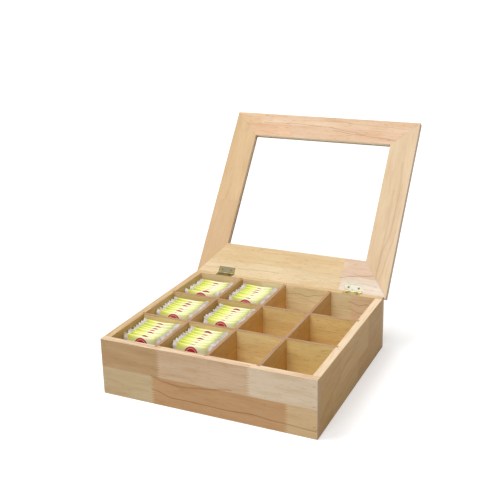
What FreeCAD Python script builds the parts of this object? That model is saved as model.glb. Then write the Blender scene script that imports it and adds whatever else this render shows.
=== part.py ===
"""A wooden tea box with twelve compartments and a hinged, glazed lid, as a FreeCAD document.

Millimetres, +Z up, +Y towards the hinges. The origin is the middle of the underside of the box. The lid
stands open against its stop, and the two left columns of compartments hold rows of tea bags.
"""
import FreeCAD, Part
import os
import Sketcher

DRIVING_SIZES = [
    ("box_width", 330, "outside, along the front"),
    ("box_depth", 300, "outside, front to back"),
    ("box_height", 86, "to the top of the walls"),
    ("wall_thick", 11, "front, back and side walls"),
    ("base_thick", 5, "plywood base panel"),
    ("base_let_in", 5.5, "how far the base panel reaches under each wall"),
    ("divider_thick", 5, "all five dividers"),
    ("divider_let_in", 3, "how far a divider's end reaches into a wall"),
    ("divider_drop", 0.6, "divider tops below the wall tops"),
    ("lid_width", 336, "outside, along the front"),
    ("lid_thick", 10, "frame of the lid"),
    ("lid_front_over", 2.5, "the closed lid stands out past the front wall"),
    ("lid_back_over", 3.35, "lid behind the hinge pins, which stops it when open"),
    ("lid_gap", 0.4, "closed lid above the wall tops"),
    ("lid_open", 127, "degrees from closed to the open stop"),
    ("stile_width", 44, "side members of the lid"),
    ("front_rail", 43, "front member of the lid"),
    ("back_rail", 57, "hinged member of the lid"),
    ("pane_thick", 2.5, "clear pane"),
    ("pane_let_in", 6, "pane in its groove, each side"),
    ("pane_cover", 1.7, "wood above the pane's groove"),
    ("pin_back", 2, "hinge pins behind the back wall"),
    ("pin_radius", 0.8, "hinge pin"),
    ("pin_play", 0.06, "lid leaf's bore round the pin"),
    ("barrel_radius", 1.75, "hinge barrel"),
    ("barrel_play", 0.12, "between knuckles"),
    ("barrel_room", 0.25, "round the barrel in the lid"),
    ("hinge_side", 113, "hinge centre from the middle of the box"),
    ("leaf_length", 30, "along the pin"),
    ("leaf_reach", 11.5, "pin to the far edge of a leaf"),
    ("leaf_thick", 1.2, "let in flush"),
    ("screw_side", 8.5, "screw from the middle of its leaf"),
    ("screw_reach", 6.5, "pin to the line of screws"),
    ("screw_head", 1.9, "radius of a countersunk head"),
    ("screw_shank", 0.9, "radius"),
    ("screw_length", 8.5, "head and shank"),
    ("slot_width", 0.45, "driver slot in a screw head"),
    ("slot_deep", 0.5, "driver slot in a screw head"),
    ("nail_radius", 0.7, "headless nail"),
    ("nail_length", 24, "headless nail"),
    ("nail_sunk", 0.6, "nail below the surface of the wall"),
    ("nail_low", 17, "lowest nail above the table"),
    ("nail_step", 29.5, "between the nails of a corner"),
    ("bag_width", 61, "tea bag across its side seams"),
    ("bag_body", 48, "tea bag between its side seams"),
    ("bag_pitch", 7.2, "from one standing tea bag to the next"),
    ("bag_seam", 1.4, "thickness of a crimped side seam"),
    ("bag_top", 81, "ridge of a tea bag above the table"),
    ("bag_dip", 3.5, "dip between two ridges"),
    ("bag_lean", 9, "top of a tea bag behind its foot"),
]
COLUMNS, ROWS = 4, 3
KNUCKLES = 5
NAILS_PER_CORNER = 3

doc = FreeCAD.newDocument("TeaBox")
sheet = doc.addObject("Spreadsheet::Sheet", "Sizes")


class Size:
    """A number and the sheet expression that gives it, kept together through plain arithmetic."""

    def __init__(self, value, text=None):
        self.value = value
        self.text = str(value) if text is None else text

    def joined(self, other, sign, value):
        return Size(value, "(%s %s %s)" % (self.text, sign, as_size(other).text))

    def __add__(self, other):
        return self.joined(other, "+", self.value + as_size(other).value)

    def __sub__(self, other):
        return self.joined(other, "-", self.value - as_size(other).value)

    def __mul__(self, other):
        return self.joined(other, "*", self.value * as_size(other).value)

    def __truediv__(self, other):
        return self.joined(other, "/", self.value / as_size(other).value)

    def __neg__(self):
        return Size(0) - self


def as_size(thing):
    return thing if isinstance(thing, Size) else Size(thing)


class Sizes:
    """The driving sizes, one attribute for each named cell of the sheet."""


def fill_sheet():
    named = Sizes()
    for row, (name, value, note) in enumerate(DRIVING_SIZES, start=1):
        sheet.set("A%d" % row, name)
        sheet.set("B%d" % row, str(value))
        sheet.set("C%d" % row, note)
        sheet.setAlias("B%d" % row, name)
        setattr(named, name, Size(value, "Sizes." + name))
    doc.recompute()
    return named


def bind(thing, **sizes):
    """Tie properties of an object to the sheet; an underscore in a keyword stands for a dot."""
    for name, size in sizes.items():
        thing.setExpression(name.replace("_", "."), as_size(size).text)


def put(thing, x, y, z):
    bind(thing, Placement_Base_x=x, Placement_Base_y=y, Placement_Base_z=z)


def hang_on_pins(thing, x, y, z):
    """Place a piece that is drawn closed, with the hinge line as its X axis, at the lid's open angle."""
    thing.Placement = FreeCAD.Placement(FreeCAD.Vector(), FreeCAD.Rotation(FreeCAD.Vector(-1, 0, 0), 1))
    bind(thing, Placement_Rotation_Angle=s.lid_open)
    put(thing, x, y, z)


# Sketches and PartDesign features


def sketch_on(body, role, lift):
    """An empty sketch on one of the body's own origin planes, lifted along the plane's normal."""
    sketch = body.newObject("Sketcher::SketchObject", body.Name + "Sketch")
    plane = next(feature for feature in body.Origin.OriginFeatures if feature.Role == role)
    sketch.AttachmentSupport = [(plane, "")]
    sketch.MapMode = "FlatFace"
    bind(sketch, AttachmentOffset_Base_z=lift)
    return sketch


def tie(sketch, edge, end, point):
    """Fix one end or centre of a sketch edge at a point whose two coordinates are sizes."""
    for kind, size in zip(("DistanceX", "DistanceY"), point):
        size = as_size(size)
        index = sketch.addConstraint(Sketcher.Constraint(kind, -1, 1, edge, end, size.value))
        sketch.setExpression("Constraints[%d]" % index, size.text)


def polygon(sketch, points):
    """A closed outline through the points, each corner fixed from the sketch's origin."""
    spots = [FreeCAD.Vector(as_size(a).value, as_size(b).value, 0) for a, b in points]
    edges = [sketch.addGeometry(Part.LineSegment(a, b)) for a, b in zip(spots, spots[1:] + spots[:1])]
    for edge, following in zip(edges, edges[1:] + edges[:1]):
        sketch.addConstraint(Sketcher.Constraint("Coincident", edge, 2, following, 1))
    for edge, point in zip(edges, points):
        tie(sketch, edge, 1, point)


def rectangle(sketch, left, low, wide, high):
    right, top = as_size(left) + wide, as_size(low) + high
    polygon(sketch, [(left, low), (right, low), (right, top), (left, top)])


def circle(sketch, centre, radius):
    spot = FreeCAD.Vector(as_size(centre[0]).value, as_size(centre[1]).value, 0)
    edge = sketch.addGeometry(Part.Circle(spot, FreeCAD.Vector(0, 0, 1), radius.value))
    index = sketch.addConstraint(Sketcher.Constraint("Radius", edge, radius.value))
    sketch.setExpression("Constraints[%d]" % index, radius.text)
    tie(sketch, edge, 3, centre)


def add_pad(body, sketch, length, both_ways=False):
    pad = body.newObject("PartDesign::Pad", body.Name + "Pad")
    pad.Profile = sketch
    pad.Midplane = both_ways
    bind(pad, Length=length)
    doc.recompute()
    return pad


def add_pocket(body, sketch, depth, upwards=False):
    """Cut the sketch's outlines into the body, and check that wood really went."""
    before = body.Shape.Volume
    pocket = body.newObject("PartDesign::Pocket", body.Name + "Pocket")
    pocket.Profile = sketch
    pocket.Reversed = upwards
    bind(pocket, Length=depth)
    doc.recompute()
    if not body.Shape.Volume < before - 1e-3:
        raise RuntimeError("a pocket in %s cuts nothing" % body.Label)


def new_body(label):
    body = doc.addObject("PartDesign::Body", label)
    body.Label = label
    made[label] = body
    return body


def board(label, corner, wide, deep, high):
    """A square-edged board whose lowest left front corner is its own origin."""
    body = new_body(label)
    outline = sketch_on(body, "XY_Plane", 0)
    rectangle(outline, 0, 0, wide, deep)
    add_pad(body, outline, high)
    put(body, *corner)
    return body


def cut_rectangles(body, lift, rectangles, depth, upwards=False):
    sketch = sketch_on(body, "XY_Plane", lift)
    for corner_and_sides in rectangles:
        rectangle(sketch, *corner_and_sides)
    add_pocket(body, sketch, depth, upwards)


def cut_holes(body, role, lift, centres, radius, depth, upwards=False):
    sketch = sketch_on(body, role, lift)
    for centre in centres:
        circle(sketch, centre, radius)
    add_pocket(body, sketch, depth, upwards)


# The box: four butted walls, a base panel let in below, and five lapped dividers


def evenly(count, span):
    """Left or front edge of each divider between count equal compartments, from the inside of a wall."""
    room = (span - s.divider_thick * (count - 1)) / count
    return [(room + s.divider_thick) * step - s.divider_thick for step in range(1, count)]


def nail_heights():
    return [s.nail_low + s.nail_step * step for step in range(NAILS_PER_CORNER)]


def divider_slots(wall, starts, along_x, inner_low):
    """Upright slots, open at the top, that take the dividers' ends on a wall's inner face."""
    slots = []
    for start in starts:
        if along_x:
            slots.append((start, inner_low, s.divider_thick, s.divider_let_in))
        else:
            slots.append((inner_low, start, s.divider_let_in, s.divider_thick))
    cut_rectangles(wall, s.box_height, slots, s.box_height - s.base_thick)


def long_wall(label, front):
    """The front or back wall: full width, covering the ends of the side walls."""
    front_face = s.box_depth / -2 if front else s.box_depth / 2 - s.wall_thick
    wall = board(label, (s.box_width / -2, front_face, 0), s.box_width, s.wall_thick, s.box_height)
    inner_slot = s.wall_thick - s.divider_let_in if front else 0
    inner_rebate = s.wall_thick - s.base_let_in if front else 0
    starts = [start + s.wall_thick for start in evenly(COLUMNS, inside_width)]
    divider_slots(wall, starts, True, inner_slot)
    rebate = (s.base_let_in, inner_rebate, s.box_width - s.base_let_in * 2, s.base_let_in)
    cut_rectangles(wall, 0, [rebate], s.base_thick, upwards=True)
    sides = (s.wall_thick / 2, s.box_width - s.wall_thick / 2)
    centres = [(side, height) for side in sides for height in nail_heights()]
    cut_holes(wall, "XZ_Plane", 0, centres, s.nail_radius, s.wall_thick)
    return wall


def side_wall(label, left):
    """A side wall between the front and back walls, with nail holes in both ends."""
    face = s.box_width / -2 if left else s.box_width / 2 - s.wall_thick
    corner = (face, s.wall_thick - s.box_depth / 2, 0)
    wall = board(label, corner, s.wall_thick, inside_depth, s.box_height)
    divider_slots(wall, evenly(ROWS, inside_depth), False, s.wall_thick - s.divider_let_in if left else 0)
    inner_rebate = s.wall_thick - s.base_let_in if left else 0
    cut_rectangles(wall, 0, [(inner_rebate, 0, s.base_let_in, inside_depth)], s.base_thick, upwards=True)
    centres = [(s.wall_thick / 2, height) for height in nail_heights()]
    bite = s.nail_length + s.nail_sunk - s.wall_thick
    cut_holes(wall, "XZ_Plane", 0, centres, s.nail_radius, bite)
    cut_holes(wall, "XZ_Plane", -inside_depth, centres, s.nail_radius, bite, upwards=True)


def dividers():
    """Three long and two cross dividers, halved over each other: long ones from above, cross from below."""
    high = s.box_height - s.divider_drop - s.base_thick
    long_deep = inside_depth + s.divider_let_in * 2
    cross_wide = inside_width + s.divider_let_in * 2
    front = s.wall_thick - s.box_depth / 2
    left = s.wall_thick - s.box_width / 2
    columns, rows = evenly(COLUMNS, inside_width), evenly(ROWS, inside_depth)
    for number, start in enumerate(columns, start=1):
        corner = (left + start, front - s.divider_let_in, s.base_thick)
        body = board("divider_long_%d" % number, corner, s.divider_thick, long_deep, high)
        laps = [(0, row + s.divider_let_in, s.divider_thick, s.divider_thick) for row in rows]
        cut_rectangles(body, high, laps, high / 2)
    for number, start in enumerate(rows, start=1):
        corner = (left - s.divider_let_in, front + start, s.base_thick)
        body = board("divider_cross_%d" % number, corner, cross_wide, s.divider_thick, high)
        laps = [(column + s.divider_let_in, 0, s.divider_thick, s.divider_thick) for column in columns]
        cut_rectangles(body, 0, laps, high / 2, upwards=True)


def base_panel():
    wide = inside_width + s.base_let_in * 2
    deep = inside_depth + s.base_let_in * 2
    board("base_panel", (wide / -2, deep / -2, 0), wide, deep, s.base_thick)


def nails():
    """Headless nails through the front and back walls into the ends of the side walls."""
    for end, facing in (("front", 1), ("back", -1)):
        foot = (s.box_depth / 2 - s.nail_sunk) * -facing
        for side, sign in (("left", -1), ("right", 1)):
            for number, height in enumerate(nail_heights(), start=1):
                nail = doc.addObject("Part::Cylinder", "nail_%s_%s_%d" % (end, side, number))
                bind(nail, Radius=s.nail_radius, Height=s.nail_length)
                nail.Placement.Rotation = FreeCAD.Rotation(FreeCAD.Vector(1, 0, 0), -90 * facing)
                put(nail, (s.box_width - s.wall_thick) / 2 * sign, foot, height)
                made[nail.Label] = nail


# The lid: a mitred frame round a clear pane, drawn closed with the hinge line as its X axis


def lid_member(label, points):
    body = new_body(label)
    outline = sketch_on(body, "XY_Plane", s.lid_gap / 2)
    polygon(outline, points)
    add_pad(body, outline, s.lid_thick)
    hang_on_pins(body, 0, pin_y, pin_z)
    return body


def lid_frame():
    """Two rails and two stiles, mitred from the outer to the inner corners, each with its pane groove."""
    out, inn = s.lid_width / 2, s.lid_width / 2 - s.stile_width
    back, back_in = s.lid_back_over, s.lid_back_over - s.back_rail
    front_in = lid_front + s.front_rail
    outer = [(-out, lid_front), (out, lid_front), (out, back), (-out, back)]
    inner = [(-inn, front_in), (inn, front_in), (inn, back_in), (-inn, back_in)]
    labels = ("lid_rail_front", "lid_stile_right", "lid_rail_back", "lid_stile_left")
    groove_low = s.lid_gap / 2 + s.lid_thick - s.pane_cover - s.pane_thick
    pane = (-inn - s.pane_let_in, front_in - s.pane_let_in,
            (inn + s.pane_let_in) * 2, back_in - front_in + s.pane_let_in * 2)
    for step, label in enumerate(labels):
        after = (step + 1) % len(labels)
        body = lid_member(label, [outer[step], outer[after], inner[after], inner[step]])
        groove = sketch_on(body, "XY_Plane", groove_low)
        rectangle(groove, *pane)
        add_pocket(body, groove, s.pane_thick, upwards=True)
    glass = new_body("lid_pane")
    outline = sketch_on(glass, "XY_Plane", groove_low)
    rectangle(outline, *pane)
    add_pad(glass, outline, s.pane_thick)
    hang_on_pins(glass, 0, pin_y, pin_z)


# The hinges: leaves let in flush, barrels just behind the back wall, and countersunk slotted screws


def leaf_beds():
    """Beds for the box leaves in the back wall, and for the lid leaves and the barrels in the lid."""
    wall, rail = made["wall_back"], made["lid_rail_back"]
    half, bed_deep = s.leaf_length / 2, s.leaf_reach - s.pin_back
    under = s.lid_gap / 2
    barrel_front = s.barrel_radius + s.barrel_room
    drilled = s.screw_length
    wall_beds, wall_holes, rail_beds, barrel_beds, rail_holes = [], [], [], [], []
    for centre in (-s.hinge_side, s.hinge_side):
        from_end = centre + s.box_width / 2
        wall_beds.append((from_end - half, s.wall_thick - bed_deep, s.leaf_length, bed_deep))
        rail_beds.append((centre - half, -s.leaf_reach, s.leaf_length, s.leaf_reach))
        barrel_wide = s.leaf_length + s.barrel_room * 2
        barrel_deep = barrel_front + s.lid_back_over
        barrel_beds.append((centre - half - s.barrel_room, -barrel_front, barrel_wide, barrel_deep))
        for side in (-s.screw_side, s.screw_side):
            wall_holes.append((from_end + side, s.wall_thick + s.pin_back - s.screw_reach))
            rail_holes.append((centre + side, -s.screw_reach))
    cut_rectangles(wall, s.box_height, wall_beds, s.leaf_thick)
    cut_holes(wall, "XY_Plane", s.box_height, wall_holes, s.screw_shank, drilled)
    cut_rectangles(rail, under, rail_beds, s.leaf_thick, upwards=True)
    cut_rectangles(rail, under, barrel_beds, barrel_front - under, upwards=True)
    cut_holes(rail, "XY_Plane", under, rail_holes, s.screw_shank, drilled, upwards=True)


def rod(radius, start, length, name="Rod"):
    """A round bar along X from start, centred on the hinge line."""
    bar = doc.addObject("Part::Cylinder", name)
    bind(bar, Radius=radius, Height=length)
    bar.Placement.Rotation = FreeCAD.Rotation(FreeCAD.Vector(0, 1, 0), 90)
    put(bar, start, 0, 0)
    return bar


def block(x, y, z, wide, deep, high):
    box = doc.addObject("Part::Box", "Block")
    bind(box, Length=wide, Width=deep, Height=high)
    put(box, x, y, z)
    return box


def fused(things):
    whole = doc.addObject("Part::MultiFuse", "Fused")
    whole.Shapes = things
    whole.Refine = True
    return whole


def less(thing, tool, name="Less"):
    cut = doc.addObject("Part::Cut", name)
    cut.Base, cut.Tool = thing, tool
    return cut


def countersink(x, y, z, upwards):
    """The space of a screw's head and shank: the wide end lies at z and the shank runs into the wood."""
    head = doc.addObject("Part::Cone", "Head")
    bind(head, Radius1=s.screw_shank, Radius2=s.screw_head, Height=s.leaf_thick)
    shank = doc.addObject("Part::Cylinder", "Shank")
    bind(shank, Radius=s.screw_shank, Height=s.screw_length)
    put(head, 0, 0, -s.leaf_thick)
    put(shank, 0, 0, -s.screw_length)
    whole = fused([head, shank])
    if upwards:
        whole.Placement.Rotation = FreeCAD.Rotation(FreeCAD.Vector(1, 0, 0), 180)
    put(whole, x, y, z)
    return whole


def leaf(name, on_lid):
    """One leaf in the hinge's own frame: the pin is the X axis and the plate reaches forward."""
    level = s.lid_gap / 2
    low = level if on_lid else -level - s.leaf_thick
    half = s.leaf_length / 2
    edge = s.barrel_radius + s.barrel_room
    plate = block(-half, -s.leaf_reach, low, s.leaf_length, s.leaf_reach - edge, s.leaf_thick)
    knuckle = s.leaf_length / KNUCKLES
    pieces = [plate]
    for step in range(1 if on_lid else 0, KNUCKLES, 2):
        start = knuckle * step - half + (s.barrel_play if on_lid else 0)
        length = knuckle - s.barrel_play * 2 if on_lid else knuckle
        pieces.append(rod(s.barrel_radius, start, length))
        pieces.append(block(start, -edge, low, length, edge, s.leaf_thick))
    bore = rod(s.pin_radius + (s.pin_play if on_lid else 0), -s.leaf_length, s.leaf_length * 2)
    face = level if on_lid else -level
    sinks = [countersink(side, -s.screw_reach, face, on_lid) for side in (-s.screw_side, s.screw_side)]
    return less(fused(pieces), fused([bore] + sinks), name)


def screw(name, on_lid, side):
    """A countersunk screw with a straight slot, in the hinge's own frame."""
    face = s.lid_gap / 2 if on_lid else s.lid_gap / -2
    body = countersink(side, -s.screw_reach, face, on_lid)
    slot_low = face if on_lid else face - s.slot_deep
    slot = block(side - s.screw_head, -s.screw_reach - s.slot_width / 2, slot_low,
                 s.screw_head * 2, s.slot_width, s.slot_deep)
    return less(body, slot, name)


def hinges():
    for hand, sign in (("left", -1), ("right", 1)):
        centre = s.hinge_side * sign
        pin = rod(s.pin_radius, 0, s.leaf_length, "hinge_%s_pin" % hand)
        put(pin, s.leaf_length / -2 + centre, pin_y, pin_z)
        made[pin.Label] = pin
        pieces = [(leaf("hinge_%s_box_leaf" % hand, False), False),
                  (leaf("hinge_%s_lid_leaf" % hand, True), True)]
        for number, side in enumerate((-s.screw_side, s.screw_side), start=1):
            pieces.append((screw("screw_%s_box_%d" % (hand, number), False, side), False))
            pieces.append((screw("screw_%s_lid_%d" % (hand, number), True, side), True))
        for piece, on_lid in pieces:
            (hang_on_pins if on_lid else put)(piece, centre, pin_y, pin_z)
            made[piece.Label] = piece


# The tea bags: one solid for each standing row, with a ridge for every bag and its thin side seams


def tea_bag_row(label, count, x, first_y):
    """Bags lean back by bag_lean. The body is the ridged outline, and each side seam a thin leaning strip."""
    foot, ridge = s.base_thick, s.bag_top
    dip = s.bag_top - s.bag_dip
    half_pitch, half_seam = s.bag_pitch / 2, s.bag_seam / 2
    body = new_body(label)
    points = [(-half_pitch - s.bag_lean, foot), (s.bag_pitch * (count - 1) + half_pitch - s.bag_lean, foot)]
    for step in reversed(range(count)):
        points.append((s.bag_pitch * step + half_pitch, dip))
        points.append((s.bag_pitch * step, ridge))
    points.append((-half_pitch, dip))
    outline = sketch_on(body, "YZ_Plane", 0)
    polygon(outline, points)
    add_pad(body, outline, s.bag_body, both_ways=True)
    strips = sketch_on(body, "YZ_Plane", 0)
    for step in range(count):
        middle = s.bag_pitch * step
        polygon(strips, [(middle - s.bag_lean - half_seam, foot), (middle - s.bag_lean + half_seam, foot),
                         (middle + half_seam, dip), (middle - half_seam, dip)])
    add_pad(body, strips, s.bag_width, both_ways=True)
    put(body, x, first_y, 0)


def tea_bags():
    """Rows in the six compartments of the two left columns; counts and places are uneven, as filled by hand."""
    room_x = (inside_width - s.divider_thick * (COLUMNS - 1)) / COLUMNS
    room_y = (inside_depth - s.divider_thick * (ROWS - 1)) / ROWS
    counts = {(0, 0): 8, (1, 0): 8, (0, 1): 8, (1, 1): 8, (0, 2): 7, (1, 2): 8}
    shift_x = {(0, 0): -2, (1, 0): -0.5, (0, 1): -1.5, (1, 1): 1.5, (0, 2): 1, (1, 2): -0.5}
    first = {(0, 0): 29.5, (1, 0): 31, (0, 1): 28, (1, 1): 29, (0, 2): 29, (1, 2): 28}
    for number, cell in enumerate(sorted(counts, key=lambda spot: (spot[1], spot[0])), start=1):
        column, row = cell
        middle = s.wall_thick - s.box_width / 2 + (room_x + s.divider_thick) * column + room_x / 2
        near = s.wall_thick - s.box_depth / 2 + (room_y + s.divider_thick) * row
        tea_bag_row("tea_bags_%d" % number, counts[cell], middle + shift_x[cell], near + first[cell])


def export():
    doc.recompute()
    for thing in doc.Objects:
        if "Invalid" in thing.State or "Error" in thing.State:
            raise RuntimeError("%s failed: %s" % (thing.Label, thing.State))
    for label, thing in made.items():
        shape = thing.Shape
        if shape.isNull() or not shape.isValid() or len(shape.Solids) != 1:
            raise RuntimeError("%s isn't one valid solid" % label)
    os.makedirs("parts", exist_ok=True)
    for label, thing in made.items():
        thing.Shape.exportStep("parts/%s.step" % label)
    print("wrote %d parts" % len(made))


made = {}
s = fill_sheet()
inside_width = s.box_width - s.wall_thick * 2
inside_depth = s.box_depth - s.wall_thick * 2
pin_y = s.box_depth / 2 + s.pin_back
pin_z = s.box_height + s.lid_gap / 2
lid_front = -(s.box_depth + s.pin_back + s.lid_front_over)

long_wall("wall_front", True)
long_wall("wall_back", False)
side_wall("wall_left", True)
side_wall("wall_right", False)
base_panel()
dividers()
nails()
lid_frame()
leaf_beds()
hinges()
tea_bags()
export()
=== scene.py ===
import math
import bpy
import numpy as np
from mathutils import Matrix, Vector


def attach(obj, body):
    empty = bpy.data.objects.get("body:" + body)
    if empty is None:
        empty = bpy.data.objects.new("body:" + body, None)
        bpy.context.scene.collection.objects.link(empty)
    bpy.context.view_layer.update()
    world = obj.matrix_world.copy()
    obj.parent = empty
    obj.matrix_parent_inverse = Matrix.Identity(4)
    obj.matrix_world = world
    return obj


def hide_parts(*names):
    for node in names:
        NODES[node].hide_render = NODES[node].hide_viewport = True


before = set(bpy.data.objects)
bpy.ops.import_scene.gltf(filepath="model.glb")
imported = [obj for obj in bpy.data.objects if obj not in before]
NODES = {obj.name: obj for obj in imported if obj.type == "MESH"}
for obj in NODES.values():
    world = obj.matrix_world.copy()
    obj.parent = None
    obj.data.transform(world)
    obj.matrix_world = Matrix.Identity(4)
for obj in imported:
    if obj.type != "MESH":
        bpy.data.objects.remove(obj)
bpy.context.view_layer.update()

MM = 0.001

# ---------------------------------------------------------------- the box's own sizes, in millimetres
HALF_WIDTH = 165.0                 # from the middle to the side walls' outer faces
HALF_DEPTH = 150.0                 # from the middle to the front and back walls' outer faces
WALL_TOP = 86.0                    # upper edges of the walls
WALL_MIDDLE = 43.0                 # about where the two staves of a wall meet
DIVIDER_TOP = 85.4                 # upper edges of the dividers
COLUMN_WIDTH = 78.0                # from one long divider to the next
CROSS_PLACE = 47.0                 # from the middle to a cross divider
PIN_AXIS = (0.0, 152.0, 86.2)      # where the lid turns
LID_OPENING = 127.0                # degrees from closed to the pose it stands in
TOP_RAIL_INSIDE = 261.5            # from the hinge pins to the far rail's edge at the pane
STILE_MIDDLE = 146.0               # from the middle of the box to the middle of a stile
STILE_HALF_WIDTH = 22.0
FINGER_PITCH = 3.9                 # finger joints: tooth to tooth
FINGER_LENGTH = 6.0                # finger joints: root to tip
SANDING = 0.7                      # how far the boards' edges are rounded over

LID_UP = (0.0, -math.cos(math.radians(LID_OPENING)), math.sin(math.radians(LID_OPENING)))
ALONG_X = (1.0, 0.0, 0.0)
ALONG_Y = (0.0, 1.0, 0.0)
ALONG_Z = (0.0, 0.0, 1.0)


def paint(red, green, blue):
    """A display colour (0 to 255) as a shader's linear colour, by the power part of the display curve."""
    c = (np.array([red, green, blue], float) / 255.0 + 0.055) / 1.055
    return (*(c ** 2.4).tolist(), 1.0)


# ---------------------------------------------------------------- building a material's nodes
class Graph:
    """The nodes of one material, added by short calls that return the socket to go on with."""

    def __init__(self, name):
        self.material = bpy.data.materials.new(name)
        self.material.use_nodes = True
        self.tree = self.material.node_tree
        self.shader = self.tree.nodes["Principled BSDF"]

    def add(self, kind, inputs=(), **settings):
        node = self.tree.nodes.new("ShaderNode" + kind)
        for key, value in settings.items():
            setattr(node, key, value)
        for socket, value in dict(inputs).items():
            self.feed(node.inputs[socket], value)
        return node

    def feed(self, socket, value):
        if isinstance(value, bpy.types.NodeSocket):
            self.tree.links.new(value, socket)
        else:
            socket.default_value = value

    def object_place(self):
        return self.add("TexCoord").outputs["Object"]

    def math(self, operation, *values):
        return self.add("Math", enumerate(values), operation=operation).outputs[0]

    def off(self, value, middle):
        """How far a value is from a middle one, either way."""
        return self.math("ABSOLUTE", self.math("SUBTRACT", value, middle))

    def mix(self, amount, first, second, blend="MIX"):
        node = self.add("Mix", data_type="RGBA", blend_type=blend)
        for socket, value in ((0, amount), (6, first), (7, second)):
            self.feed(node.inputs[socket], value)
        return node.outputs[2]

    def tinted(self, colour, tint):
        return self.mix(1.0, colour, tint, "MULTIPLY")

    def fade(self, value, start, end, low=0.0, high=1.0):
        """low at start, high at end, and a smooth step between them."""
        inputs = {0: value, 1: start, 2: end, 3: low, 4: high}
        return self.add("MapRange", inputs, interpolation_type="SMOOTHSTEP").outputs[0]

    def layer(self, colour, tone, pattern, start, full, strength):
        """A tone over a colour: none of it where the pattern is at start, and its strength at full."""
        return self.mix(self.fade(pattern, start, full, 0.0, strength), colour, tone)

    def noise(self, vector, scale, detail=2.0, rough=0.5, seed=None):
        inputs = {"Vector": vector, "Scale": scale, "Detail": detail, "Roughness": rough}
        if seed is None:
            return self.add("TexNoise", inputs).outputs[0]
        inputs["W"] = seed
        return self.add("TexNoise", inputs, noise_dimensions="4D").outputs[0]

    def stretched_noise(self, vector, waves, detail=2.0, rough=0.5, seed=None):
        """Noise with its own number of waves per metre along each axis."""
        scaled = self.add("VectorMath", {0: vector, 1: waves}, operation="MULTIPLY").outputs[0]
        return self.noise(scaled, 1.0, detail, rough, seed)

    def ramp(self, value, stops, interpolation="LINEAR"):
        node = self.add("ValToRGB", {0: value})
        node.color_ramp.interpolation = interpolation
        elements = node.color_ramp.elements
        while len(elements) < len(stops):
            elements.new(0.5)
        for element, (place, colour) in zip(elements, sorted(stops, key=lambda stop: stop[0])):
            element.position = place
            element.color = colour
        return node.outputs[0]

    def bump(self, height, strength, distance, under=None):
        inputs = {"Strength": strength, "Distance": distance, "Height": height}
        if under is not None:
            inputs["Normal"] = under
        return self.add("Bump", inputs).outputs[0]

    def finish(self, colour=None, normal=None, roughness=None, **settings):
        for name, value in (("Base Color", colour), ("Normal", normal), ("Roughness", roughness)):
            if value is not None:
                self.feed(self.shader.inputs[name], value)
        for name, value in settings.items():
            self.shader.inputs[name.replace("_", " ")].default_value = value
        return self.material


# ---------------------------------------------------------------- wood
# waves per metre of each pattern, along the grain, across the board and through it
BROAD_WAVES = (5.0, 42.0, 42.0)
CLOUD_WAVES = (17.0, 95.0, 95.0)
FIBRE_WAVES = (26.0, 620.0, 620.0)
PORE_WAVES = (95.0, 900.0, 900.0)
WANDER_WAVES = (14.0, 14.0, 14.0)
END_RAY_WAVES = (0.0, 260.0, 900.0)
RING_TURN = 2300.0                 # growth rings: radians for each metre across the board
RING_BEND = 0.030                  # how far the broad pattern bends them, in metres
SEED_OF_GREEN = 83.0               # a block's own figure comes from its colour
SEED_OF_BLUE = 47.0

# what the layers of figure multiply the wood's colour by
DEEP = (0.83, 0.73, 0.60, 1.0)
AIRY = (1.09, 1.10, 1.12, 1.0)
STREAK = (0.86, 0.78, 0.70, 1.0)
PORE = (0.52, 0.40, 0.30, 1.0)
FLECK = (1.12, 1.12, 1.10, 1.0)

# growth lines, glue lines and varnish, in millimetres
LINE_HEADROOM = 10.0               # above a line's highest point, so that its heights stay under 1
LINE_WANDER = 5.0                  # how far noise moves a line
LINE_FADE = 3.0                    # how far a line runs out past its ends
GLUE_LINE = 0.35                   # half the width of a glue line
FIBRE_DEPTH = 0.25                 # the relief of the fibres under the varnish
COAT_SHARE = 0.2                   # the varnish's clear coat for each unit of gloss
COAT_ROUGHNESS = 0.22


def board_place(graph, origin, grain, across):
    """A board's own coordinates: along its grain, across its face and through its thickness."""
    rows = Matrix((grain, across, Vector(grain).cross(Vector(across))))
    shift = rows @ Vector(origin) * -MM
    inputs = {"Vector": graph.object_place(), "Location": shift, "Rotation": rows.to_euler()}
    return graph.add("Mapping", inputs).outputs[0]


def finger_zigzag(graph, across):
    """How far a finger joint steps along the grain: a triangle wave of the place across the board."""
    wave = graph.math("PINGPONG", across, FINGER_PITCH * MM / 2)
    slope = FINGER_LENGTH / (FINGER_PITCH / 2)
    return graph.math("MULTIPLY_ADD", wave, slope, -FINGER_LENGTH * MM / 2)


def stave_colour(graph, along, zigzag, reach, blocks):
    """One stave: blocks of wood glued end to end, each (where it ends along the grain, its colour)."""
    low, high = reach
    stepped = graph.math("ADD", along, zigzag)
    share = graph.add("MapRange", {0: stepped, 1: low * MM, 2: high * MM}).outputs[0]
    starts = [low] + [end for end, _ in blocks[:-1]]
    stops = [((start - low) / (high - low), colour) for start, (_, colour) in zip(starts, blocks)]
    return graph.ramp(share, stops, "CONSTANT")


def glued_colour(graph, along, across, zigzag, reach, staves, seams):
    """Staves side by side. seams are the places across the board where one ends and the next begins."""
    colour = stave_colour(graph, along, zigzag, reach, staves[0])
    for seam, blocks in zip(seams, staves[1:]):
        beyond = graph.math("GREATER_THAN", across, seam * MM)
        colour = graph.mix(beyond, colour, stave_colour(graph, along, zigzag, reach, blocks))
    return colour


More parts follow.
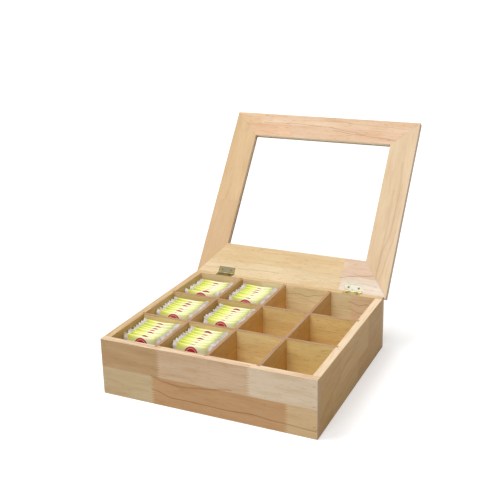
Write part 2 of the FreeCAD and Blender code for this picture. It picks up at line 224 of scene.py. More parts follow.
def growth_line(graph, along, across, reach, points, half_width, wander):
    """A growth line: 1 on a smooth curve through its (along, across) points, 0 half a width off it."""
    low, high = reach
    tallest = max(height for _, height in points) + LINE_HEADROOM
    share = graph.add("MapRange", {0: along, 1: low * MM, 2: high * MM}).outputs[0]
    stops = [((x - low) / (high - low), (h / tallest,) * 3 + (1.0,)) for x, h in points]
    curve = graph.ramp(share, stops, "EASE")
    height = graph.math("MULTIPLY", curve, tallest * MM)
    height = graph.math("MULTIPLY_ADD", wander, LINE_WANDER * MM, height)
    line = graph.fade(graph.off(across, height), 0.0, half_width * MM, 1.0, 0.0)
    first, last = points[0][0] * MM, points[-1][0] * MM
    begun = graph.fade(along, first - LINE_FADE * MM, first)
    ended = graph.fade(along, last, last + LINE_FADE * MM, 1.0, 0.0)
    return graph.math("MULTIPLY", line, graph.math("MULTIPLY", begun, ended))


def figured(graph, colour, place, across, figure, fleck):
    """A block's plain colour with its figure. Bands, clouds, growth rings, streaks and pores are laid over
    it in turn. Returns the colour, the fibre pattern, the pores and the tone of a pore."""
    channels = graph.add("SeparateColor", {0: colour}).outputs
    blue_part = graph.math("MULTIPLY", channels[2], SEED_OF_BLUE)
    seed = graph.math("MULTIPLY_ADD", channels[1], SEED_OF_GREEN, blue_part)
    broad = graph.stretched_noise(place, BROAD_WAVES, 3.0, 0.55, seed)
    clouds = graph.stretched_noise(place, CLOUD_WAVES, 2.0, 0.5, seed)
    fibre = graph.stretched_noise(place, FIBRE_WAVES, 3.0, 0.6, seed)
    dashes = graph.stretched_noise(place, PORE_WAVES, 1.0, 0.5, seed)
    pores = graph.fade(dashes, 0.60, 0.74)
    flecks = graph.fade(dashes, 0.40, 0.27)
    bent = graph.math("MULTIPLY_ADD", broad, RING_BEND, across)
    rings = graph.fade(graph.math("SINE", graph.math("MULTIPLY_ADD", bent, RING_TURN, seed)), 0.35, 1.0)

    deep = graph.tinted(colour, DEEP)
    colour = graph.layer(colour, deep, broad, 0.42, 0.72, 0.62 * figure)
    colour = graph.layer(colour, deep, clouds, 0.50, 0.74, 0.55 * figure)
    colour = graph.layer(colour, graph.tinted(colour, AIRY), clouds, 0.46, 0.28, 0.8 * figure)
    colour = graph.mix(graph.math("MULTIPLY", rings, 0.16), colour, deep)
    colour = graph.layer(colour, graph.tinted(colour, STREAK), fibre, 0.45, 0.75, 0.55 * figure)
    pore_tone = graph.tinted(colour, PORE)
    colour = graph.mix(graph.math("MULTIPLY", pores, 0.50 * fleck), colour, pore_tone)
    bright = graph.tinted(colour, FLECK)
    colour = graph.mix(graph.math("MULTIPLY", flecks, 0.45 * fleck), colour, bright)
    return colour, fibre, pores, pore_tone


def on_face(graph, place, level, start=0.5, full=0.1):
    """1 on a board's outer face at a level, 0 a little below it."""
    return graph.fade(place, (level - start) * MM, (level - full) * MM)


def wood(name, origin, grain, across, reach, staves, seams=(), lines=(), top_edge=None, ends=None, painted_shading_rim=None,
         fleck=0.7, figure=1.0, fingers=1.0, gloss=0.25):
    """Clear-varnished wood, glued up from blocks in staves that meet at the seams. A growth line is (its
    points, half its width, its strength). Three kinds of face can have their own tone: top_edge is (its
    height, two tones of its fibres), ends is (half the board's length, the end grain's tone) and the rim is
    (1 or -1 for the way it faces across the board, its place there, its tone); the rim's tone is painted
    light on the far rail's inner edge and painted shade on the stiles' outer edges. fleck is how strong the
    pores are, figure the bands, clouds and streaks, fingers the joints' teeth and gloss the varnish."""
    graph = Graph(name)
    place = board_place(graph, origin, grain, across)
    split = graph.add("SeparateXYZ", {0: place}).outputs
    zigzag = graph.math("MULTIPLY", finger_zigzag(graph, split[1]), fingers)
    colour = glued_colour(graph, split[0], split[1], zigzag, reach, staves, seams)
    colour, fibre, pores, pore_tone = figured(graph, colour, place, split[1], figure, fleck)

    wander = graph.math("SUBTRACT", graph.stretched_noise(place, WANDER_WAVES, 1.0), 0.5)
    for points, half_width, strength in lines:
        line = growth_line(graph, split[0], split[1], reach, points, half_width, wander)
        colour = graph.mix(graph.math("MULTIPLY", line, strength), colour, pore_tone)
    for seam in seams:
        glue = graph.fade(graph.off(split[1], seam * MM), 0.0, GLUE_LINE * MM, 0.14, 0.0)
        colour = graph.mix(glue, colour, pore_tone)

    if top_edge is not None:
        level, first, second = top_edge
        height = graph.add("SeparateXYZ", {0: graph.object_place()}).outputs[2]
        tone = graph.mix(graph.fade(fibre, 0.35, 0.65), first, second)
        colour = graph.mix(on_face(graph, height, level, 0.6, 0.2), colour, tone)
    if ends is not None:
        half_length, end_grain = ends
        rays = graph.stretched_noise(place, END_RAY_WAVES, 2.0)
        tone = graph.layer(end_grain, pore_tone, rays, 0.35, 0.65, 0.4)
        out = graph.math("ABSOLUTE", split[0])
        colour = graph.mix(on_face(graph, out, half_length), colour, tone)
    # the rim: a tone painted over one edge of the board, as painted light or painted shade, whichever the
    # caller gives
    if painted_shading_rim is not None:
        side, level, plain = painted_shading_rim
        tone = graph.layer(plain, pore_tone, fibre, 0.3, 0.7, 0.5)
        outward = graph.math("MULTIPLY", split[1], side)
        colour = graph.mix(on_face(graph, outward, side * level), colour, tone)

    sanded = graph.add("Bevel", {"Radius": SANDING * MM}, samples=4).outputs[0]
    relief = graph.math("MULTIPLY_ADD", pores, -1.0, fibre)
    normal = graph.bump(relief, 0.22, FIBRE_DEPTH * MM, sanded)
    roughness = graph.fade(fibre, 0.25, 0.8, 0.36, 0.52)
    return graph.finish(colour, normal, roughness, Coat_Weight=COAT_SHARE * gloss,
                        Coat_Roughness=COAT_ROUGHNESS, Specular_IOR_Level=gloss)


# ---------------------------------------------------------------- the boards of this box
# where each board's pattern of blocks begins and ends along its grain
WALL_REACH = (-170, 170)
SIDE_REACH = (-155, 155)
RAIL_REACH = (-175, 175)
STILE_REACH = (-10, 320)

GOLDEN = paint(252, 230, 168)
AMBER = paint(226, 184, 114)
END_GRAIN = (HALF_WIDTH, paint(172, 132, 76))
DIVIDER_EDGE = (DIVIDER_TOP, paint(190, 150, 114), paint(168, 126, 88))
LID_FINGERS = 0.06                 # the lid's blocks meet in nearly straight joints


def front_wall_wood():
    upper = [(-72, paint(192, 159, 116)), (66, paint(212, 183, 149)), (170, paint(223, 203, 175))]
    lower = [(-83, paint(204, 181, 142)), (120, paint(197, 156, 111)), (170, paint(212, 182, 139))]
    lines = [
        ([(-83, 43), (-64, 37), (-41, 35), (0, 40), (40, 46)], 1.9, 0.50),
        ([(-83, 22), (-50, 14.5), (-14, 15.5), (38, 15), (67, 17), (110, 13), (165, 12)], 1.3, 0.75),
    ]
    edge = (WALL_TOP, paint(246, 220, 184), paint(210, 172, 136))
    return wood("front_wall_wood", (0, -HALF_DEPTH, 0), ALONG_X, ALONG_Z, WALL_REACH, [lower, upper],
                [WALL_MIDDLE], lines, edge, END_GRAIN)


def back_wall_wood():
    upper = [(-40, paint(252, 230, 186)), (113, paint(255, 243, 200)), (170, paint(253, 228, 192))]
    lower = [
        (-95, paint(252, 232, 190)), (20, paint(250, 224, 181)),
        (113, paint(254, 232, 191)), (170, paint(246, 214, 180)),
    ]
    lines = [
        ([(5, 72.5), (27, 73.5), (39, 71), (56, 75.5), (76, 79)], 1.3, 0.55),
        ([(5, 64), (34, 66), (60, 61), (76, 63)], 1.8, 0.25),
        ([(112, 74), (128, 70), (141, 73), (154, 68)], 1.3, 0.65),
        ([(112, 62), (128, 57), (154, 60)], 1.6, 0.45),
        ([(-140, 60), (-80, 66), (-20, 60)], 1.5, 0.35),
    ]
    edge = (WALL_TOP, paint(224, 197, 152), paint(201, 168, 122))
    return wood("back_wall_wood", (0, HALF_DEPTH, 0), ALONG_X, ALONG_Z, WALL_REACH, [lower, upper],
                [WALL_MIDDLE - 3], lines, edge, END_GRAIN)


def left_wall_wood():
    upper = [(-30, paint(232, 194, 121)), (60, paint(238, 204, 133)), (155, paint(242, 210, 141))]
    lower = [(-92, paint(236, 201, 131)), (35, paint(242, 210, 141)), (155, paint(232, 194, 121))]
    lines = [([(-150, 25), (-60, 30), (40, 22), (150, 27)], 1.2, 0.4)]
    edge = (WALL_TOP, paint(223, 190, 142), paint(197, 161, 112))
    return wood("left_wall_wood", (-HALF_WIDTH, 0, 0), ALONG_Y, ALONG_Z, SIDE_REACH, [lower, upper],
                [WALL_MIDDLE + 2], lines, edge)


def right_wall_wood():
    # the right wall's tones are darker than the other walls': partly the board's own tone, partly painted
    # shade of the side that faces away from the lamps
    upper = [(-60, paint(190, 149, 86)), (70, paint(196, 156, 95)), (155, paint(182, 142, 81))]
    lower = [(-90, paint(187, 147, 83)), (20, paint(193, 153, 91)), (155, paint(184, 143, 81))]
    lines = [
        ([(-139, 20), (-112, 32), (-80, 44), (-30, 58), (20, 66)], 5.0, 0.22),
        ([(-120, 62), (-90, 70), (-40, 74), (10, 71), (60, 76)], 3.0, 0.25),
        ([(-60, 18), (-10, 26), (50, 30), (110, 44)], 4.0, 0.20),
    ]
    edge = (WALL_TOP, paint(246, 222, 190), paint(230, 200, 162))
    return wood("right_wall_wood", (HALF_WIDTH, 0, 0), ALONG_Y, ALONG_Z, SIDE_REACH, [lower, upper],
                [WALL_MIDDLE - 6], lines, edge, fleck=0.4, figure=0.6, gloss=0.1)


def divider_wood(name, origin, grain, first, second, joint):
    blocks = [(joint, first), (170, second)]
    return wood(name, origin, grain, ALONG_Z, WALL_REACH, [blocks], top_edge=DIVIDER_EDGE, fleck=1.2)


def base_wood():
    return wood("base_plywood", (0, 0, 0), ALONG_X, ALONG_Y, WALL_REACH, [[(170, GOLDEN)]], fleck=0.7)


def top_rail_wood():
    inner = [(-60, paint(231, 192, 155)), (60, paint(230, 196, 163)), (175, paint(233, 198, 166))]
    outer = [(-118, paint(231, 197, 157)), (175, paint(233, 201, 168))]
    lines = [
        ([(-112, 287), (-60, 288), (0, 286), (50, 281), (75, 276)], 1.1, 0.55),
        ([(20, 280), (60, 276), (100, 272), (140, 268)], 1.0, 0.6),
        ([(-40, 296), (20, 298), (90, 293), (150, 291)], 1.0, 0.35),
    ]
    # the far rail's inner edge at the pane gets a paler tone: painted light, standing in for the light the
    # floor throws up onto it
    painted_shading_rim = (-1, TOP_RAIL_INSIDE, paint(255, 236, 198))
    return wood("top_rail_wood", PIN_AXIS, ALONG_X, LID_UP, RAIL_REACH, [inner, outer], [285], lines,
                painted_shading_rim=painted_shading_rim, fleck=1.3, fingers=LID_FINGERS)


def hinged_rail_wood():
    lower = [(-95, paint(238, 215, 176)), (88, paint(234, 212, 172)), (175, paint(238, 224, 207))]
    upper = [(88, paint(230, 203, 158)), (175, paint(228, 199, 172))]
    lines = [
        ([(88, 21), (104, 24), (120, 27), (145, 31)], 1.5, 0.6),
        ([(-158, 8), (-118, 8.5), (-90, 10.5), (-50, 12.5), (-20, 13)], 0.9, 0.5),
        ([(100, 9), (125, 14), (150, 14)], 1.2, 0.3),
    ]
    return wood("hinged_rail_wood", PIN_AXIS, ALONG_X, LID_UP, RAIL_REACH, [lower, upper], [24], lines,
                fleck=0.9, fingers=LID_FINGERS)


RIGHT_STILE_LINES = [
    ([(20, -10), (60, 0), (110, 8), (170, 10), (230, 6)], 2.8, 0.24),
    ([(8, 2), (50, 10), (100, 15), (150, 16)], 2.2, 0.20),
    ([(40, -14), (80, -8), (130, -3), (180, -4)], 3.2, 0.16),
]


def stile_wood(name, side, first, second, joint, lines=()):
    """A stile of the lid: side is -1 on the left and 1 on the right."""
    origin = (side * STILE_MIDDLE, PIN_AXIS[1], PIN_AXIS[2])
    blocks = [(joint, first), (320, second)]
    # the stile's outer edge gets a darker tone: painted shade on that edge
    painted_shading_rim = (side, side * STILE_HALF_WIDTH, paint(178, 150, 116))
    return wood(name, origin, LID_UP, ALONG_X, STILE_REACH, [blocks], lines=lines, painted_shading_rim=painted_shading_rim,
                fleck=0.35, figure=0.75, fingers=LID_FINGERS)


# ---------------------------------------------------------------- metal and glass
BRUSH_WAVES = (60.0, 2600.0, 2600.0)
TARNISH = paint(150, 118, 58)


def brushed_brass(name, colour, roughness):
    """Rolled brass: fine lines along x in the roughness and the relief, and a faint tarnish."""
    graph = Graph(name)
    where = graph.object_place()
    lines = graph.stretched_noise(where, BRUSH_WAVES)
    tone = graph.layer(colour, TARNISH, graph.noise(where, 160.0, 3.0), 0.42, 0.75, 0.5)
    rough = graph.fade(lines, 0.2, 0.8, roughness, roughness + 0.14)
    normal = graph.bump(lines, 0.12, 0.05 * MM)
    return graph.finish(tone, normal, rough, Metallic=1.0)


def nail_steel():
    """Dull steel, specked with brown."""
    graph = Graph("nail_steel")
    speck = graph.noise(graph.object_place(), 900.0)
    tone = graph.mix(speck, paint(92, 78, 64), paint(140, 128, 114))
    return graph.finish(tone, None, graph.fade(speck, 0.3, 0.7, 0.4, 0.6), Metallic=0.8)


def clear_pane():
    """Clear acrylic: light goes straight through, and the surface keeps a thin shine."""
    graph = Graph("lid_pane")
    haze = graph.noise(graph.object_place(), 25.0, 3.0)
    rough = graph.fade(haze, 0.3, 0.7, 0.02, 0.05)
    graph.material.surface_render_method = "BLENDED"
    return graph.finish(paint(248, 252, 252), None, rough, Alpha=0.06)


# ---------------------------------------------------------------- wrapped tea bags, in millimetres
BAG_WIDTH = 62.0                   # across the toothed side edges
BAG_BODY = 48.0                    # between the side seals
BAG_FOOT = 5.4
BAG_TOP = 81.0
BAG_HEIGHT = BAG_TOP - BAG_FOOT
BAG_PITCH = 7.2                    # from one bag to the next
BAG_LEAN = 9.0                     # how far a bag's foot lies in front of its top fold
BAG_HALF_THICKNESS = 3.45
BAG_PAPER = 0.18                   # half the thickness of the seals
TOOTH_PITCH = 2.5
TOOTH_DEPTH = 0.7
SIDE_POWER = 3.2                   # the higher, the squarer a bag's sides
SIDE_ROOT = 0.6
FOLD_POWER = 11                    # the higher, the tighter its fold and its foot
CREASE_DEPTH = 0.22                # of the creases beside the seals
CREASE_PLACE = 0.60                # share of the half width where the creases are deepest
CREASE_SPREAD = 0.13
RIDGE_DIP = 0.9                    # how far the fold dips in its middle
RIDGE_WAVE = 0.25                  # how far it waves
SEAL_START = 0.78                  # share of the half width from which a seal waves and curls
ROUND_DEPTHS = [0.0, 0.05, 0.2, 0.5, 0.9, 1.5, 2.2, 3.1, 4.2]    # levels where the wrapper rounds over
MIDDLE_LEVELS = 56                 # levels over the straight part, its two ends among them

# what differs from bag to bag, each drawn evenly from its range; angles are in radians
PHASE_RANGE = 6.28                 # start of a wave, anywhere in about a full turn
PUFF = (0.93, 1.0)                 # share of the full thickness
LEFT_CURL = (0.8, 3.4)
RIGHT_CURL = (0.2, 4.2)
TURN = (-0.022, 0.022)             # about the upright
SLIDE = (-0.6, 0.6)                # sideways
TILT = (-0.008, 0.008)             # sideways for each millimetre of height
PRINT_SLIP = (-0.6, 0.9)           # how far the print is out of place over the fold

PRINT_LENGTH = 100.0               # the print's second coordinate is 1 this far from the fold
DISC_RADIUS = 10.9
DISC_DEPTH = 12.5                  # from the fold to the disc's middle
DISC_ACROSS = 0.505                # the disc's middle as a share of the width
RING_INSIDE = 7.5
RING_OUTSIDE = 9.1
RING_BLUR = 0.3                    # over this the disc's and the ring's edges fade
CRIMP_TURN = 6.283 / 1.3           # crimps of the seals: radians for each millimetre across


def bag_levels():
    """Heights from -1 at the foot to 1 at the top fold: close together where the wrapper rounds over."""
    end = np.array(ROUND_DEPTHS)
    middle = np.linspace(end[-1], BAG_HEIGHT - end[-1], MIDDLE_LEVELS)[1:-1]
    depth = np.concatenate([end, middle, (BAG_HEIGHT - end)[::-1]])
    return 1.0 - depth[::-1] / (BAG_HEIGHT / 2)


def bag_stations():
    """Places across the wrapper, -1 to 1: close together at the sealed edges."""
    body = BAG_BODY / BAG_WIDTH
    inner = [0.0, 0.12, 0.24, 0.36, 0.48, 0.58, 0.66, 0.71, 0.75]
    half = np.array(inner + [body - 0.012, body, 0.88, 0.97, 1.0])
    return np.concatenate([-half[:0:-1], half])


def bag_swell(rng, phase, body, x_share, z_share):
    """Half a bag's thickness: the paper's, and the filling's times (1 - body ^ SIDE_POWER) ^ SIDE_ROOT
    across the bag. It is a little fuller low down, and the creases beside the seals are two sines of the
    height multiplied. It goes to nothing at the fold and the foot, as the square root of
    1 - |height| ^ FOLD_POWER."""
    fullness = (1.0 - body ** SIDE_POWER) ** SIDE_ROOT
    belly = 0.94 - 0.05 * z_share
    puff = rng.uniform(*PUFF, phase[0].shape)
    thick = BAG_PAPER + BAG_HALF_THICKNESS * fullness * belly * puff
    crease = np.sin(z_share * 9.0 + phase[0] + 2.0 * x_share) * np.sin(z_share * 5.2 + phase[1])
    near_seal = np.exp(-((np.abs(x_share) - CREASE_PLACE) / CREASE_SPREAD) ** 2)
    thick = thick + CREASE_DEPTH * crease * near_seal * (1.0 - np.abs(z_share) ** 9)
    return thick * np.sqrt(1.0 - np.abs(z_share) ** FOLD_POWER)


def seal_edges(rng, phase, x_share, z_share, y, z):
    """Adds what the seals do, growing evenly from SEAL_START to the edge: a slow wave and a crinkle, both
    sines up the bag, a curl back as the 14th power of the height and a raised top corner as its 12th. The
    edge itself is a triangle wave of teeth. Returns x, y and z."""
    height = 0.5 + 0.5 * z_share
    left = x_share < 0
    seal = np.clip((np.abs(x_share) - SEAL_START) / (1.0 - SEAL_START), 0.0, 1.0)
    wave = 0.45 * np.sin(z_share * 4.0 + phase[3]) + 0.30 * np.sin(z_share * 11.0 + phase[4])
    crinkle = 0.9 * np.sin(z_share * 26.0 + 3.0 * x_share + phase[0])
    shape = phase[0].shape
    curl = np.where(left, rng.uniform(*LEFT_CURL, shape), rng.uniform(*RIGHT_CURL, shape))
    corner = np.where(left, 0.2 * (PHASE_RANGE - phase[5]), 0.4 * phase[5])
    tooth = np.abs(((z / TOOTH_PITCH) % 1.0) * 2.0 - 1.0) - 0.5
    at_edge = np.sign(x_share) * (np.abs(x_share) > 0.99)
    x = x_share * BAG_WIDTH / 2 + at_edge * tooth * TOOTH_DEPTH
    y = y + seal * (wave + crinkle)
    y = y + seal * curl * height ** 14
    z = z + seal * corner * height ** 12
    return x, y, z


def bag_row(name, node, paper, seed, centre, first_ridge, rise, gaps, nudges):
    """A row of wrapped tea bags. Each is a loop up its front, over the fold and down its back, drawn out
    across the bag. Its half thickness is bag_swell, its fold dips in the middle by the square of the way
    across, and it leans, evenly with height. rise lifts single bags, gaps sets them apart, and nudges moves
    the first ones sideways."""
    rng = np.random.default_rng(seed)
    count = len(rise)
    shape = (count, 1, 1)
    levels = bag_levels()
    rows = len(levels)
    z_share = np.concatenate([levels, levels[-2::-1]])[None, :, None]
    side = np.concatenate([-np.ones(rows), np.ones(rows - 1)])
    side[[0, rows - 1, -1]] = 0.0
    side = side[None, :, None]
    x_share = bag_stations()[None, None, :]

    body = np.clip(np.abs(x_share) * BAG_WIDTH / BAG_BODY, 0.0, 1.0)
    phase = rng.uniform(0, PHASE_RANGE, (6,) + shape)
    y = side * bag_swell(rng, phase, body, x_share, z_share)
    ridge_dip = RIDGE_DIP * (1.0 - body ** 2) + RIDGE_WAVE * np.sin(6.0 * x_share + phase[2])
    lift = np.array(rise).reshape(shape)
    z = BAG_FOOT + BAG_HEIGHT / 2 * (1.0 + z_share)
    z = z + (lift - ridge_dip) * (0.5 + 0.5 * z_share) ** 6
    x, y, z = seal_edges(rng, phase, x_share, z_share, y, z)

    turn = rng.uniform(*TURN, shape)
    slide = rng.uniform(*SLIDE, shape) + np.array(nudges + (0.0,) * count)[:count].reshape(shape)
    tilt = rng.uniform(*TILT, shape)
    step = first_ridge + np.arange(count) * BAG_PITCH + np.cumsum(np.array(gaps))
    lean = BAG_LEAN * (BAG_TOP - z) / BAG_HEIGHT
    across = centre + slide + x * np.cos(turn) + tilt * (z - BAG_FOOT)
    along = step.reshape(shape) + y + x * np.sin(turn) - lean
    points = np.stack([across, along, z + 0.0 * x], axis=-1)

    drop = np.where(side <= 0, 1.0, -1.0) * BAG_HEIGHT * (1.0 - z_share) / 2
    drop = drop + rng.uniform(*PRINT_SLIP, shape)
    print_place = np.broadcast_arrays(x / BAG_WIDTH + 0.5, drop / PRINT_LENGTH + 0.0 * x)
    return bag_mesh(name, node, paper, points, np.stack(print_place, axis=-1), rows)


def bag_mesh(name, node, paper, points, print_map, rows):
    """Quads over each bag's loop, closed at the foot, and a strip between the two papers at each side."""
    count, loop, across = points.shape[:3]
    unique = loop - 1
    verts = points[:, :unique].reshape(-1, 3) * MM
    row, column = np.meshgrid(np.arange(loop - 1), np.arange(across - 1), indexing="ij")
    corners = [(row, column), (row, column + 1), (row + 1, column + 1), (row + 1, column)]
    skin = np.stack([np.stack([r.ravel(), c.ravel()], -1) for r, c in corners], axis=1)
    back = unique - np.arange(rows)
    low = np.arange(1, rows - 2)
    strips, ends = [], []
    for column, turn in ((across - 1, 1), (0, -1)):
        edge = np.stack([low, back[low], back[low + 1], low + 1], axis=1)[:, ::turn]
        strips.append(np.stack([edge, np.full_like(edge, column)], axis=-1))
        tips = np.array([[0, back[1], 1], [rows - 2, back[rows - 2], rows - 1]])[:, ::turn]
        ends.append(np.stack([tips, np.full_like(tips, column)], axis=-1))

    mesh = bpy.data.meshes.new(name)
    faces, mapped = [], []
    for shape in (np.concatenate([skin] + strips), np.concatenate(ends)):
        number = (shape[..., 0] % unique) * across + shape[..., 1]
        offset = np.arange(count)[:, None, None] * unique * across
        faces += (number[None] + offset).reshape(-1, shape.shape[1]).tolist()
        mapped.append(print_map[:, shape[..., 0], shape[..., 1]].reshape(-1, 2))
    mesh.from_pydata(verts.tolist(), [], faces)
    layer = mesh.uv_layers.new(name="print")
    layer.data.foreach_set("uv", np.concatenate(mapped).astype(np.float32).ravel())
    mesh.polygons.foreach_set("use_smooth", np.ones(len(mesh.polygons), bool))
    mesh.materials.append(paper)
    piece = bpy.data.objects.new(name, mesh)
    bpy.context.scene.collection.objects.link(piece)
    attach(piece, "box")
    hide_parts(node)
    return piece


def bag_paper():
    """Coated wrapper: lime fading to cream, white crimped seals, and a red disc with a thin pink ring.
    The cream lower down is partly print and partly painted light, made paler against the shade on the
    bags' fronts and in the valleys between them.
    """
    graph = Graph("tea_bag_paper")
    spot = graph.add("UVMap", uv_map="print").outputs[0]
    split = graph.add("SeparateXYZ", {0: spot}).outputs
    soft = graph.stretched_noise(spot, (3.0, 5.0, 1.0))
    across = graph.math("MULTIPLY_ADD", graph.math("SUBTRACT", soft, 0.5), 0.25, split[0])
    near_fold = [
        (0.0, paint(214, 222, 72)), (0.22, paint(222, 229, 84)), (0.40, paint(238, 240, 150)),
        (0.56, paint(246, 245, 206)), (0.70, paint(242, 242, 186)), (0.90, paint(229, 234, 112)),
    ]
    # lower down on each bag: partly the print, partly painted light, made paler against the shade there
    lower_down_painted_light = [
        (0.0, paint(218, 226, 92)), (0.22, paint(232, 238, 150)), (0.45, paint(246, 248, 214)),
        (0.72, paint(240, 246, 218)), (0.92, paint(232, 240, 168)),
    ]
    low = graph.fade(split[1], 0.0, 0.08)
    colour = graph.mix(low, graph.ramp(across, near_fold), graph.ramp(across, lower_down_painted_light))

    x = graph.math("MULTIPLY", graph.math("SUBTRACT", split[0], DISC_ACROSS), BAG_WIDTH)
    y = graph.math("MULTIPLY_ADD", split[1], PRINT_LENGTH, -DISC_DEPTH)
    away = graph.math("SQRT", graph.math("ADD", graph.math("MULTIPLY", x, x), graph.math("MULTIPLY", y, y)))
    disc = graph.fade(away, DISC_RADIUS + RING_BLUR / 2, DISC_RADIUS - RING_BLUR / 2)
    colour = graph.mix(disc, colour, paint(184, 36, 48))
    inside = graph.fade(away, RING_OUTSIDE, RING_OUTSIDE - RING_BLUR)
    outside = graph.fade(away, RING_INSIDE, RING_INSIDE + RING_BLUR)
    ring = graph.math("MULTIPLY", inside, outside)
    colour = graph.mix(graph.math("MULTIPLY", ring, 0.85), colour, paint(242, 168, 170))

    from_middle = graph.math("ABSOLUTE", graph.math("MULTIPLY_ADD", split[0], BAG_WIDTH, -BAG_WIDTH / 2))
    seal = graph.fade(from_middle, BAG_BODY / 2 - 0.4, BAG_BODY / 2 + 0.4)
    colour = graph.mix(seal, colour, paint(252, 250, 251))
    crimp = graph.math("SINE", graph.math("MULTIPLY", split[0], BAG_WIDTH * CRIMP_TURN))
    crimp = graph.math("MULTIPLY", crimp, seal)
    crinkle = graph.stretched_noise(spot, (9.0, 22.0, 1.0), 3.0, 0.6)
    normal = graph.bump(crinkle, 0.35, 0.6 * MM)
    normal = graph.bump(crimp, 0.3, 0.2 * MM, normal)
    rough = graph.fade(crinkle, 0.3, 0.7, 0.34, 0.48)
    return graph.finish(colour, normal, rough, Coat_Weight=0.1, Coat_Roughness=0.2, Subsurface_Weight=0.4,
                        Subsurface_Scale=0.005, Subsurface_Radius=(1.0, 1.0, 0.9))


# ---------------------------------------------------------------- room, lamps and camera, in metres
WHITE = (1.0, 1.0, 1.0, 1.0)
ROOM_LEVEL = 0.45                  # the room as it lights a surface; it is 1 where it is seen
FLOOR_GREY = 0.66                  # the floor as it lights a surface
FLOOR_LIT = (0.84, 0.845, 0.85, 1.0)    # the part of the floor's white that a shadow takes away
FLOOR_GLOW = 0.375                 # the part of it that stays in a shadow
FLOOR_REACH = 40.0
FLOOR_DROP = 0.0002                # below the box, so that the two never coincide

# each lamp: its name, the way it shines, its level and its spread in degrees
LAMPS = [
    ("key_lamp", (0.42, 0.12, -0.90), 0.47, 30.0),
    ("gloss_lamp", (0.06, 0.64, -0.76), 0.26, 20.0),
]
LAMP_DISTANCE = 2.0
CAMERA_PLACE = (0.5022, -1.0712, 0.6060)
CAMERA_TURN = (24.921, -17.608, -1.176)    # yaw, pitch and roll in degrees
CAMERA_LENS = 61.61                        # millimetres, on a sensor 36 wide
CAMERA_SHIFT = -0.05


def seen_plainly(tree):
    """1 for a ray from the camera, a gloss or through a clear part, 0 for a ray that lights a surface."""
    path = tree.nodes.new("ShaderNodeLightPath")
    either = path.outputs["Is Camera Ray"]
    for kind in ("Is Glossy Ray", "Is Transmission Ray"):
        larger = tree.nodes.new("ShaderNodeMath")
        larger.operation = "MAXIMUM"
        tree.links.new(either, larger.inputs[0])
        tree.links.new(path.outputs[kind], larger.inputs[1])
        either = larger.outputs[0]
    return either


def white_floor():
    """A floor that keeps the box's shadow."""
    reach = FLOOR_REACH
    mesh = bpy.data.meshes.new("floor")
    corners = [(-reach, -reach), (reach, -reach), (reach, reach), (-reach, reach)]
    mesh.from_pydata([(x, y, -FLOOR_DROP) for x, y in corners], [], [(0, 1, 2, 3)])
    floor = bpy.data.objects.new("floor", mesh)
    bpy.context.scene.collection.objects.link(floor)
    mesh.materials.append(floor_white())


def white_room():
    """A room that is plain white where it is seen, and dimmer where it lights a surface."""
    world = bpy.data.worlds.new("room")
    bpy.context.scene.world = world
    world.use_nodes = True
    tree = world.node_tree
    back = tree.nodes["Background"]
    back.inputs["Color"].default_value = WHITE
    level = tree.nodes.new("ShaderNodeMapRange")
    level.inputs[3].default_value = ROOM_LEVEL
    level.inputs[4].default_value = 1.0
    tree.links.new(seen_plainly(tree), level.inputs[0])
    tree.links.new(level.outputs[0], back.inputs["Strength"])


def floor_white():
    """Where it is seen, a glowing white that a shadow darkens. Where it lights a surface, a plain grey."""
    material = bpy.data.materials.new("floor_white")
    material.use_nodes = True
    tree = material.node_tree
    tree.nodes.remove(tree.nodes["Principled BSDF"])
    out = tree.nodes["Material Output"]
    plain = tree.nodes.new("ShaderNodeBsdfDiffuse")
    plain.inputs["Color"].default_value = (FLOOR_GREY,) * 3 + (1.0,)
    lit = tree.nodes.new("ShaderNodeBsdfDiffuse")
    lit.inputs["Color"].default_value = FLOOR_LIT
    glow = tree.nodes.new("ShaderNodeEmission")
    glow.inputs["Color"].default_value = WHITE
    glow.inputs["Strength"].default_value = FLOOR_GLOW
    both = tree.nodes.new("ShaderNodeAddShader")
    tree.links.new(lit.outputs[0], both.inputs[0])
    tree.links.new(glow.outputs[0], both.inputs[1])
    choose = tree.nodes.new("ShaderNodeMixShader")
    tree.links.new(seen_plainly(tree), choose.inputs[0])
    tree.links.new(plain.outputs[0], choose.inputs[1])
    tree.links.new(both.outputs[0], choose.inputs[2])
    tree.links.new(choose.outputs[0], out.inputs["Surface"])
    return material


def soft_lamp(name, towards, level, spread):
    """A broad, distant lamp: level 1 shows a surface that faces it as its own colour."""
    data = bpy.data.lights.new(name, "SUN")
    data.energy = level * math.pi
    data.angle = math.radians(spread)
    lamp = bpy.data.objects.new(name, data)
    lamp.rotation_euler = Vector(towards).to_track_quat("-Z", "Y").to_euler()
    lamp.location = Vector(towards).normalized() * -LAMP_DISTANCE
    bpy.context.scene.collection.objects.link(lamp)


def camera():
    """Seen from the right, above and in front; the axes come from yaw, pitch and roll in turn."""
    data = bpy.data.cameras.new("camera")
    data.sensor_width = 36.0
    data.lens = CAMERA_LENS
    data.shift_y = CAMERA_SHIFT
    data.clip_start = 0.05
    data.clip_end = 100.0
    lens = bpy.data.objects.new("camera", data)
    yaw, pitch, roll = (math.radians(angle) for angle in CAMERA_TURN)
    turn = Matrix.Rotation(yaw, 4, "Z") @ Matrix.Rotation(math.pi / 2 + pitch, 4, "X")
    turn = turn @ Matrix.Rotation(roll, 4, "Z")
    lens.matrix_world = Matrix.Translation(CAMERA_PLACE) @ turn
    bpy.context.scene.collection.objects.link(lens)
    bpy.context.scene.camera = lens


# ---------------------------------------------------------------- putting it together
def finish_node(name, material):
    node = NODES[name]
    node.data.materials.clear()
    node.data.materials.append(material)


bpy.context.scene.view_settings.view_transform = "Standard"
camera()
white_floor()
white_room()
for lamp in LAMPS:
    soft_lamp(*lamp)

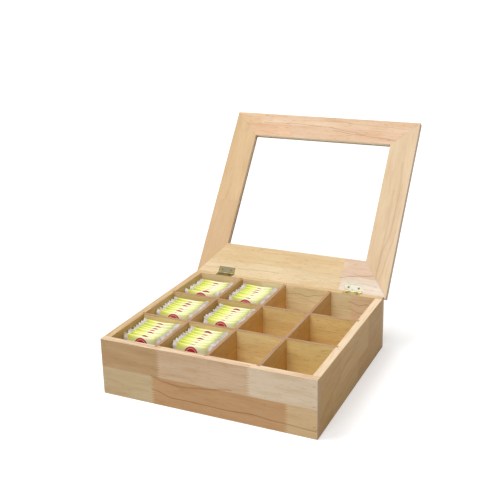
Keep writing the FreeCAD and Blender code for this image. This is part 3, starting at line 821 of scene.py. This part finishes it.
finish_node("wall_front", front_wall_wood())
finish_node("wall_back", back_wall_wood())
finish_node("wall_left", left_wall_wood())
finish_node("wall_right", right_wall_wood())
finish_node("base_panel", base_wood())

# each divider: its node, its place, its grain, its two blocks' colours and where they meet
DIVIDERS = [
    ("divider_long_1", (-COLUMN_WIDTH, 0, 0), ALONG_Y, AMBER, AMBER, 40),
    ("divider_long_2", (0, 0, 0), ALONG_Y, paint(220, 180, 112), AMBER, -20),
    ("divider_long_3", (COLUMN_WIDTH, 0, 0), ALONG_Y, AMBER, paint(220, 180, 116), 30),
    ("divider_cross_1", (0, -CROSS_PLACE, 0), ALONG_X, GOLDEN, paint(251, 226, 156), 79),
    ("divider_cross_2", (0, CROSS_PLACE, 0), ALONG_X, paint(241, 217, 155), paint(246, 217, 149), 79),
]
for number, (name, *board) in enumerate(DIVIDERS, start=1):
    finish_node(name, divider_wood(f"divider_wood_{number}", *board))

left_tones = (paint(217, 183, 141), paint(221, 188, 144))
right_tones = (paint(227, 200, 164), paint(227, 200, 164))
finish_node("lid_rail_front", top_rail_wood())
finish_node("lid_rail_back", hinged_rail_wood())
finish_node("lid_stile_left", stile_wood("left_stile_wood", -1, *left_tones, 132))
finish_node("lid_stile_right", stile_wood("right_stile_wood", 1, *right_tones, 210, RIGHT_STILE_LINES))
finish_node("lid_pane", clear_pane())

# The hinges are one brass. The left hinge's leaves and pin are a darker, greener copy: painted shade where
# it reflects something dark. The right hinge's are a paler, brighter copy: painted light.
METALS = {
    "hinge_left_lid_leaf": brushed_brass("shaded_brass", paint(112, 107, 86), 0.34),
    "hinge_left_box_leaf": brushed_brass("shaded_olive_brass", paint(140, 126, 82), 0.36),
    "hinge_left_pin": brushed_brass("shaded_pin_brass", paint(170, 160, 112), 0.30),
    "hinge_right_lid_leaf": brushed_brass("lit_pale_brass", paint(164, 163, 150), 0.40),
    "hinge_right_box_leaf": brushed_brass("lit_gold_brass", paint(198, 180, 126), 0.30),
    "hinge_right_pin": brushed_brass("lit_bright_brass", paint(222, 210, 160), 0.26),
    "screw_left": brushed_brass("left_screw_brass", paint(96, 88, 58), 0.40),
    "screw_right": brushed_brass("right_screw_brass", paint(112, 100, 62), 0.40),
    "nail": nail_steel(),
}
for name in NODES:
    for start, metal in METALS.items():
        if name.startswith(start):
            finish_node(name, metal)

# each row of tea bags: its middle in x, its first ridge in y, then for each bag how much higher it stands
# and the extra gap before it, and how far its first bags are moved sideways
BAG_ROWS = [
    (-119.0, -109.5, (0.0, 0.6, -0.5, 0.2, -0.3, -0.5, 0.6, 1.1), (0, 0, 0, 0, 0, 0, 0.5, 0.6),
     (-2.0, -0.8)),
    (-39.5, -108.0, (0.2, 0.9, 0.9, -0.4, 0.0, -0.4, 0.2, 1.3), (0, 0, 0, 0, 0, 0, 0.2, 0.6), (0.0,)),
    (-118.6, -17.0, (0.0, -0.3, 0.3, 0.3, -0.5, -0.3, 0.2, 1.2), (0, 0, 0, 0, 0, 0, 0.2, 0.5), (-1.0,)),
    (-37.8, -16.0, (0.1, 0.5, -0.3, -0.4, 0.0, -0.4, 0.1, 1.1), (0, 0, 0, 0, 0, 0, 0.2, 0.5), (-0.5,)),
    (-116.0, 75.5, (0.0, 0.8, 0.6, -0.4, -0.5, 0.1, 1.2), (0, 2.5, 0, 0, 0, 0, 0.4), (-4.5, 0.5)),
    (-39.5, 77.0, (0.0, 0.7, -0.4, 0.0, -0.5, -0.3, 0.2, 1.2), (0, 0, 0, 0, 0, 0, 0.2, 0.5), (-0.5,)),
]
ROW_SEED = 40
paper = bag_paper()
for number, row in enumerate(BAG_ROWS, start=1):
    bag_row(f"wrapped_bags_{number}", f"tea_bags_{number}", paper, ROW_SEED + number, *row)
